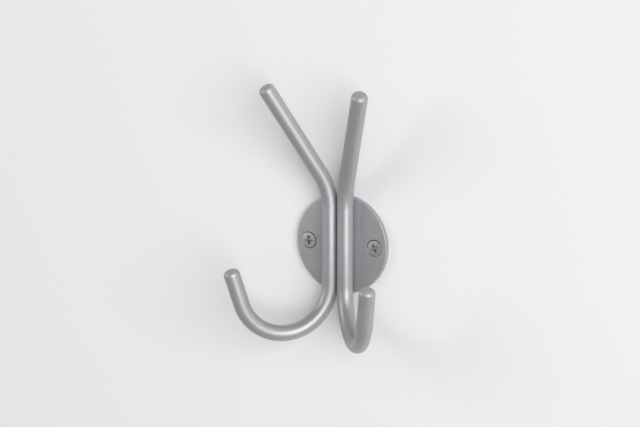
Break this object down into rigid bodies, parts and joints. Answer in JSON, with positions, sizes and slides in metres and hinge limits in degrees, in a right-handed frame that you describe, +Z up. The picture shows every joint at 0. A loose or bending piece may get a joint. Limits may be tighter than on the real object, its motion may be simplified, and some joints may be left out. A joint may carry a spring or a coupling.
{
  "type": "double hook",
  "caption": "Wall hook for coats and hats: a round plate carries bent round rods side by side, each leaning out above as an arm and curling up below as a J-shaped hook.",
  "frame": {"origin": "centre of the plate's back face, on the wall", "axes": "+Z up, +Y into the wall, +X to the right as seen from the room; the rods and hooks stand out towards -Y"},
  "size_m": [0.0828, 0.081, 0.1286],
  "materials": {
    "paint": "satin silver-grey powder coat",
    "screw_steel": "pale zinc plating"
  },
  "bodies": {
    "root": {"wall_plate": "paint", "left_rod": "paint", "right_rod": "paint", "left_screw": "screw_steel", "right_screw": "screw_steel"}
  },
  "joints": []
}
